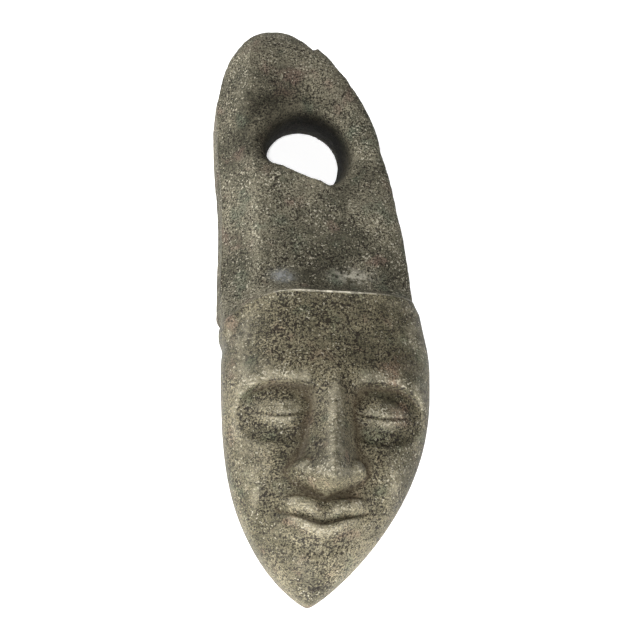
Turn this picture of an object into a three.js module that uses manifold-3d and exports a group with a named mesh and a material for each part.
// A stone face sculpture carved from one block, lying on its flat back with the face up.
// Millimetres. x runs across the face, y from the pointed chin to the top of the stem, z up.
// A station is a distance from the tip of the chin along y.
import * as THREE from 'three';
import { mergeVertices } from 'three/addons/utils/BufferGeometryUtils.js';
import Module from 'manifold-3d';

// Driving dimensions
const length = 330;
const faceLength = 160; // from the tip of the chin to the ledge over the forehead
const third = faceLength / 3; // chin to nose, nose to brow, brow to ledge

// Curves through [station, size] pairs
const head = {
  halfWidth: 56,
  widestAt: 124,
  tipPower: 2.6,
  sidePower: 1.16,
  ledgeHalfWidth: 49.5,
  chinOffset: -8,
};
const stem = {
  left: [[160, -57], [215, -56], [255, -58.5], [300, -59.5]],
  right: [[160, 47.5], [180, 46], [200, 43.5], [230, 38], [260, 31.5], [330, 19]],
  leftEnd: 266,
  leftPower: 2.3,
  rightEnd: 257,
  rightPower: 1.75,
  peak: -22, // x of the highest point of the rounded top
  heelDrop: 20, // how far the stem's left side runs on below the ledge
};
const faceHeight = [
  [0, 20], [1, 24.5], [4, 30.5], [10, 38], [20, 46], [32, 52], [48, 57],
  [66, 60], [95, 62], [125, 64], [145, 65.5], [160, 66],
];
const stemHeight = [
  [160, 56], [200, 58], [240, 60], [280, 58], [305, 54.5],
  [320, 48.5], [327, 42.5], [329, 39.8], [330, 36],
];
const rimHeight = [
  [0, 20], [10, 22], [40, 30], [80, 36], [130, 38],
  [160, 36], [200, 32], [300, 32], [330, 36],
];
const backDepth = [
  [0, 20], [1, 15.6], [5, 9], [14, 2], [28, -3], [60, -4], [160, -4],
  [180, -2.5], [290, -2.5], [308, 1], [320, 8.5], [327, 19.4], [329, 26.2], [330, 36],
];
const frontPower = [[0, 2], [40, 2.3], [110, 2.6], [140, 3], [160, 3.8], [168, 5.6], [290, 5.2], [330, 2.4]];
const headBackPower = [[0, 2], [60, 2], [160, 2.2], [300, 4.4], [330, 2.4]];
const stemBackPower = [[160, 5.4], [300, 4.6], [330, 2.4]];
const bevel = { start: 0.64, drop: 0.78, round: 0.12, top: 288, topEnd: 324 }; // along the stem's left edge
const ledge = { fillet: 4.2, roll: 1.3, templeFrom: -18, templeReach: 36, templeDrop: 13 };

// The through hole: its middle at the front and at the back, an arch over a sloping floor, and its dip
const hole = {
  front: [-10, 243.5],
  back: [-5.5, 263],
  depth: 58,
  throat: 20,
  floor: 13.5,
  floorSlope: -20.5,
  corner: 7,
  frontFlare: 11,
  frontReach: 18,
  lift: 10,
  liftAngle: 120,
  backFlare: 1.2,
  backReach: 5,
  dip: 6,
  dipReach: 9,
};

// The face, a plain calm one, symmetrical about its middle line
const brow = { rise: 3.4, arch: 4, over: 2, crest: 14, under: 4.2 };
const eye = { across: 26, under: 11.5, halfWide: 18, halfHigh: 11.5, sink: 7.5, bulge: 8.4, pinch: 0.3 };
const nose = {
  ridge: [[-14, 0], [-2, 21.5], [3, 23.5], [12, 21], [26, 15], [42, 9.5], [53, 6.5], [64, 4], [80, 0]],
  halfWidth: [[-6, 20], [6, 19.5], [16, 15.5], [30, 12], [44, 10.5], [56, 13], [72, 22]],
  wingAcross: 11.5,
  wingUp: 6,
  wingRadius: 9,
  wingRise: 14.5,
  tuck: 8.5,
};
const mouth = { slope: 0.4, halfWide: 23, upper: 11.5, lower: 8.5, mound: 5.5 };

// Rows of points bend to follow the lips, the base of the nose, the brows and the ledge
const flow = { slope: 0.45, reach: 20, lipsFrom: 4, lipsFull: 32, noseFull: 58, noseEnd: 92, round: 3 };

// How finely the stone and its hole are divided
const frontPoints = 41;
const backPoints = 12;
const faceStations = 57;
const stemStations = 24;
const holePoints = 28;
const holeLevels = [-12, 1.5, 6, 16, 30, 42, 49, 53, 56, 58.5, 62, 80];
const keyStations = [third + 3, head.widestAt, faceLength]; // the nose's tip, the widest place and the ledge

// Small tools: a smooth step, a bell, rounded maximum and minimum, a smooth curve through stops
function clamp(value, low, high) {
  return Math.min(Math.max(value, low), high);
}

function ramp(from, to, value) {
  const t = clamp((value - from) / (to - from), 0, 1);
  return t * t * (3 - 2 * t);
}

function bell(value, width) {
  return Math.exp(-((value / width) ** 2));
}

function softMax(a, b, round) {
  const h = clamp(0.5 + (0.5 * (a - b)) / round, 0, 1);
  return b * (1 - h) + a * h + round * h * (1 - h);
}

function softMin(a, b, round) {
  return -softMax(-a, -b, round);
}

function along(stops, station) {
  const last = stops.length - 1;
  const s = clamp(station, stops[0][0], stops[last][0]);
  let i = 0;
  while (i < last - 1 && s >= stops[i + 1][0]) i += 1;
  const rise = (k) => (stops[k + 1][1] - stops[k][1]) / (stops[k + 1][0] - stops[k][0]);
  const slope = (k) => {
    if (k === 0) return rise(0);
    if (k === last) return rise(last - 1);
    const product = rise(k - 1) * rise(k);
    return product <= 0 ? 0 : (2 * product) / (rise(k - 1) + rise(k));
  };
  const span = stops[i + 1][0] - stops[i][0];
  const t = (s - stops[i][0]) / span;
  return (
    (1 + 2 * t) * (1 - t) ** 2 * stops[i][1] +
    t * (1 - t) ** 2 * span * slope(i) +
    t * t * (3 - 2 * t) * stops[i + 1][1] +
    t * t * (t - 1) * span * slope(i + 1)
  );
}

// Outline seen from above: the middle and half width at a station, the jaw an arch, the top rounded
function rounded(s, start, power) {
  const e = clamp((s - start) / (length - start), 0, 1);
  return clamp(1 - e ** power, 0, 1) ** (1 / power);
}

function headMiddle(s) {
  return head.chinOffset * (1 - ramp(0, 110, s));
}

function plan(s, drop) {
  const u = clamp(s / head.widestAt, 0, 1);
  const jaw = head.halfWidth * clamp(1 - (1 - u) ** head.tipPower, 0, 1) ** (1 / head.sidePower);
  const narrowing = (head.halfWidth - head.ledgeHalfWidth) * ramp(head.widestAt, faceLength + 8, s);
  const headHalf = s < head.widestAt ? jaw : head.halfWidth - narrowing;
  const left = stem.peak + (along(stem.left, s) - stem.peak) * rounded(s, stem.leftEnd, stem.leftPower);
  const right = stem.peak + (along(stem.right, s) - stem.peak) * rounded(s, stem.rightEnd, stem.rightPower);
  const q = ramp(faceLength - 7 - drop, faceLength + 3 - drop, s);
  return {
    middle: headMiddle(s) * (1 - q) + ((right + left) / 2) * q,
    half: headHalf * (1 - q) + ((right - left) / 2) * q,
  };
}

// Where the brow and the ledge run, m being the distance from the face's middle line
function browLine(m) {
  return third * 2 + brow.over + brow.arch * bell(m - 26, 19) - 5 * ramp(32, 54, m);
}

function templeDrop(x) {
  return ledge.templeDrop * clamp((ledge.templeFrom - x) / ledge.templeReach, 0, 1) ** 2;
}

function rowShift(m, x, s) {
  const lips = ramp(flow.lipsFrom, flow.lipsFull, s) * (1 - ramp(flow.noseFull, flow.noseEnd, s));
  const brows = ramp(88, 106, s) * (1 - ramp(112, 140, s));
  const ledgeShare = ramp(128, 156, s) * (1 - ramp(164, 196, s));
  const lipRise = flow.slope * softMin(Math.hypot(m, flow.round) - flow.round, flow.reach, flow.round);
  return lips * lipRise + brows * (browLine(m) - browLine(0)) - ledgeShare * templeDrop(x);
}

// The hole's wall at a height: a round arch over a flat floor, the arch rolled open at the front
function holeMiddle(z) {
  const k = clamp(z / hole.depth, 0, 1);
  return hole.back.map((start, i) => start + (hole.front[i] - start) * k);
}

function towardsFloor(angle) {
  return Math.cos(angle - THREE.MathUtils.degToRad(hole.floorSlope - 90));
}

function archShare(angle) {
  return 1 - ramp(0.1, 0.8, towardsFloor(angle));
}

function holeRadius(angle, z) {
  const past = Math.min(z - hole.depth, 4) / hole.frontReach;
  const lift = hole.lift * Math.max(Math.cos(angle - THREE.MathUtils.degToRad(hole.liftAngle)), 0);
  const opening = ((hole.frontFlare + lift) * (Math.exp(past) + Math.exp(4 * past)) * archShare(angle)) / 2;
  const flare = opening + hole.backFlare * Math.exp(-Math.max(z, -4) / hole.backReach);
  const toFloor = (hole.floor + flare) / Math.max(towardsFloor(angle), 0.12);
  return softMin(hole.throat + flare, toFloor, hole.corner);
}

function mouthDip(x, s) {
  const across = x - hole.front[0];
  const up = s - hole.front[1];
  const angle = Math.atan2(up, across);
  const outside = Math.max(Math.hypot(across, up) - holeRadius(angle, hole.depth), 0);
  return hole.dip * archShare(angle) * Math.exp(-outside / hole.dipReach);
}

// Height of the front along its middle: the forehead ends in a ledge with a hollow fillet to the stem
function frontHeight(s, x) {
  const over = Math.max(s - faceLength + templeDrop(x), 0);
  const step = Math.exp(-((over / ledge.fillet) ** ledge.roll));
  return along(faceHeight, s) * step + along(stemHeight, s) * (1 - step) - mouthDip(x, s);
}

// Relief of the face over the plain front
function browRelief(m, s) {
  const up = s - browLine(m);
  const width = up > 0 ? brow.crest : brow.under;
  const bridge = 2 * bell(m, 15) * bell(s - third * 2 - 5, 15);
  return brow.rise * bell(up, width) * ramp(3, 16, m) + bridge;
}

function eyeRelief(m, s, height) {
  const across = m - eye.across;
  const up = s - (third * 2 - eye.under);
  const reach = up > 0 ? eye.halfHigh + 2.5 : eye.halfHigh + 5.5;
  const rho = (Math.abs(across / (eye.halfWide + 4.5)) ** 2.4 + Math.abs(up / reach) ** 2.4) ** (1 / 2.4);
  const steep = up > 0 ? 0.16 : 0.34;
  const socket = eye.sink * (1 - ramp(1 - steep, 1 + steep * 0.5, rho)) * (0.62 + 0.38 * ramp(-14, 10, up));
  let relief = height - socket;
  const eu = across / eye.halfWide;
  const ev = up / (eye.halfHigh * (1 - eye.pinch * clamp(eu, -1.2, 1.2) ** 2));
  const edge = Math.hypot(eu, ev);
  const ball = eye.bulge * Math.sqrt(clamp(1 - (edge / 1.04) ** 2, 0, 1)) - 6.4 - 0.14 * up;
  if (edge < 1.04) relief = softMax(relief, ball, 1.2);
  const lowerLid = 2.4 * bell(edge - 1.07, 0.11) * ramp(0.3, -0.45, ev);
  const underLid = 1.3 * bell(edge - 1.36, 0.17) * ramp(0.1, -0.5, ev);
  return relief + lowerLid - underLid;
}

function noseBottom(m, s) {
  const line = third - 2.5 + nose.tuck * clamp(m / 17, 0, 1.3) ** 1.15;
  return ramp(line - 3.5, line + 1.5, s);
}

function noseRelief(m, s, height) {
  const up = s - third;
  const wedge = along(nose.ridge, up) * clamp(1 - (m / along(nose.halfWidth, up)) ** 1.35, -1, 1);
  const wingOut = (m - nose.wingAcross) / nose.wingRadius;
  const wingEdge = wingOut ** 2 + ((up - nose.wingUp) / (nose.wingRadius + 0.5)) ** 2;
  const wing = nose.wingRise * Math.sqrt(clamp(1 - wingEdge, 0, 1)) - 1.5;
  const top = softMax(softMax(height, wedge, 3), wing, 2.2);
  return height + (top - height) * noseBottom(m, s);
}

function lipProfile(t) {
  const u = clamp(t, 0, 1);
  return Math.sqrt(4 * u * (1 - u));
}

function mouthRelief(m, s) {
  const line = third * (2 / 3) - 1 + mouth.slope * (Math.hypot(m, 3) - 3);
  const up = s - line;
  const underNose = 1 - 0.9 * noseBottom(m, s) * ramp(third - 3, third + 5, s);
  const mound = mouth.mound * bell(m, 25) * bell(s - third * 0.66, 17) * underNose;
  const corner = 1 - ramp(mouth.halfWide - 8, mouth.halfWide + 1, m);
  const taper = Math.sqrt(clamp(1 - (m / (mouth.halfWide + 2)) ** 2, 0.08, 1));
  const upper = 4.6 * lipProfile(up / (mouth.upper * taper)) * corner * (0.5 + 0.5 * ramp(0, 9, m));
  const lower = 4.4 * lipProfile(-up / (mouth.lower * taper)) * (1 - ramp(10, 22, m));
  const parting = 1.7 * bell(up, 1.5) * (1 - ramp(mouth.halfWide - 3, mouth.halfWide + 3, m));
  const dimple = 1.6 * bell(m - mouth.halfWide - 1, 4) * bell(up, 5);
  return mound + upper + lower - parting - dimple;
}

function cheekRelief(m, s) {
  const fold = 23 + 8 * bell(s - third * 0.78, 17);
  const groove = 1.6 * bell(m - fold, 4.5) * ramp(24, 38, s) * (1 - ramp(third, third + 14, s));
  const cheek = 2.2 * bell(m - fold - 10, 10) * ramp(24, 44, s) * (1 - ramp(third + 8, third + 30, s));
  return cheek - groove;
}

function chinRelief(m, s) {
  const up = s - (third * 0.4 + 0.35 * m);
  return 1.5 * bell(up + 8, 6) * (1 - ramp(10, 26, m)) - bell(up, 3) * (1 - ramp(14, 26, m));
}

function faceRelief(m, s) {
  const upperFace = noseRelief(m, s, eyeRelief(m, s, browRelief(m, s)));
  return upperFace + mouthRelief(m, s) + cheekRelief(m, s) + chinRelief(m, s);
}

// One ring around the stone: a rounded block section, whose front carries the face
function roundedBlock(angle, power) {
  const c = Math.cos(angle);
  const k = Math.sin(angle);
  const r = (Math.abs(c) ** power + Math.abs(k) ** power) ** (-1 / power);
  return [r * c, r * k];
}

function bevelHeight(across) {
  return 1 - (bevel.drop * (across - bevel.start)) / (1 - bevel.start);
}

function ringAngles() {
  const angles = [];
  for (let i = 0; i < frontPoints; i += 1) {
    const q = (2 * i) / (frontPoints - 1) - 1;
    angles.push((Math.PI / 2) * (1 - 0.64 * q - 0.36 * q ** 3));
  }
  for (let i = 1; i <= backPoints; i += 1) angles.push((-Math.PI * i) / (backPoints + 1));
  return angles;
}

function stonePoint(angle, row) {
  const side = ramp(0.35, 0.95, -Math.cos(angle)) * (1 - ramp(0.35, 0.95, Math.sin(angle)));
  const drop = stem.heelDrop * side;
  const rowPlan = plan(row, drop);
  const rowX = rowPlan.middle + rowPlan.half * roundedBlock(angle, along(frontPower, row))[0];
  const onFront = angle >= 0;
  const shift = onFront ? rowShift(Math.abs(rowX - headMiddle(row)), rowX, row) : 0;
  const s = row + shift * ramp(0, 0.5, Math.sin(angle));
  const { middle, half } = plan(s, drop);
  const rim = along(rimHeight, s);
  const onStem = ramp(faceLength - 9, faceLength + 4, s);
  const backPower = along(headBackPower, s) * (1 - onStem) + along(stemBackPower, s) * onStem;
  const [across, up] = roundedBlock(angle, onFront ? along(frontPower, s) : backPower);
  const x = middle + half * across;
  if (!onFront) return new THREE.Vector3(x, s, Math.max(rim + (rim - along(backDepth, s)) * up, 0));
  const onBevel = ramp(faceLength - 6, faceLength + 10, s) * (1 - ramp(bevel.top, bevel.topEnd, s));
  const bevelUp = across < 0 ? up + (softMin(up, bevelHeight(-across), bevel.round) - up) * onBevel : up;
  const share = (1 - ramp(0.8, 1, Math.abs(across))) * (1 - ramp(faceLength - 24, faceLength - 4, s));
  const relief = faceRelief(Math.abs(x - headMiddle(s)), s) * share * ramp(2, 12, s);
  return new THREE.Vector3(x, s, rim + (frontHeight(s, x) - rim) * bevelUp + relief);
}

function stoneRing(row) {
  return ringAngles().map((angle) => stonePoint(angle, row));
}

function rowStations() {
  const faceEnd = faceLength + 6;
  const rows = [];
  for (let i = 0; i < faceStations; i += 1) {
    const a = i / faceStations;
    rows.push(1.2 + (faceEnd - 1.2) * (0.86 * a + 0.14 * a ** 2));
  }
  for (const key of keyStations) {
    const gaps = rows.map((row) => Math.abs(row - key));
    rows[gaps.indexOf(Math.min(...gaps))] = key;
  }
  for (let i = 0; i < stemStations; i += 1) {
    const b = i / (stemStations - 1);
    rows.push(faceEnd + (length - 0.6 - faceEnd) * (1 - (1 - b) ** 1.25));
  }
  return rows;
}

function holeRing(z) {
  const [x, s] = holeMiddle(z);
  const ring = [];
  for (let i = 0; i < holePoints; i += 1) {
    const angle = (2 * Math.PI * i) / holePoints;
    const r = holeRadius(angle, z);
    ring.push(new THREE.Vector3(x + r * Math.cos(angle), s + r * Math.sin(angle), z));
  }
  return ring;
}

// A closed body from rings of points, with a point closing each end
function closedBody(rings, firstPole, lastPole) {
  const around = rings[0].length;
  const lastIndex = rings.length * around + 1;
  const at = (i, j) => 1 + i * around + (j % around);
  const indices = [];
  for (let j = 0; j < around; j += 1) {
    indices.push(0, at(0, j + 1), at(0, j));
    indices.push(lastIndex, at(rings.length - 1, j), at(rings.length - 1, j + 1));
    for (let i = 0; i + 1 < rings.length; i += 1) {
      indices.push(at(i, j), at(i, j + 1), at(i + 1, j));
      indices.push(at(i + 1, j), at(i, j + 1), at(i + 1, j + 1));
    }
  }
  const geometry = new THREE.BufferGeometry().setFromPoints([firstPole, ...rings.flat(), lastPole]);
  geometry.setIndex(indices);
  return geometry;
}

// Cutting one solid out of another
const wasm = await Module();
wasm.setup();

function solidOf(geometry) {
  geometry.deleteAttribute('normal');
  geometry.deleteAttribute('uv');
  const merged = mergeVertices(geometry);
  return new wasm.Manifold(
    new wasm.Mesh({
      numProp: 3,
      vertProperties: new Float32Array(merged.attributes.position.array),
      triVerts: new Uint32Array(merged.index.array),
    }),
  );
}

function geometryOf(solid) {
  const mesh = solid.getMesh();
  const geometry = new THREE.BufferGeometry();
  geometry.setAttribute('position', new THREE.BufferAttribute(mesh.vertProperties, 3));
  geometry.setIndex(new THREE.BufferAttribute(mesh.triVerts, 1));
  geometry.computeVertexNormals();
  return geometry;
}

// The stone: the rings closed at the chin and the top, less the hole
function stoneGeometry() {
  const rings = rowStations().map(stoneRing);
  const chin = new THREE.Vector3(head.chinOffset, 0, rimHeight[0][1]);
  const top = new THREE.Vector3(stem.peak, length, rimHeight.at(-1)[1]);
  const holeRings = holeLevels.map(holeRing);
  const holeEnds = [holeLevels[0], holeLevels.at(-1)].map((z) => new THREE.Vector3(...holeMiddle(z), z));
  const stone = geometryOf(
    solidOf(closedBody(rings, chin, top)).subtract(solidOf(closedBody(holeRings, ...holeEnds))),
  );
  stone.computeBoundingBox();
  const box = stone.boundingBox;
  return stone.translate(-(box.min.x + box.max.x) / 2, -(box.min.y + box.max.y) / 2, 0);
}

const stoneFace = new THREE.Mesh(
  stoneGeometry(),
  new THREE.MeshStandardMaterial({ color: 0x6b6552, roughness: 0.72, metalness: 0 }),
);
stoneFace.name = 'stone_face';

const sculpture = new THREE.Group();
sculpture.add(stoneFace);

export default sculpture;
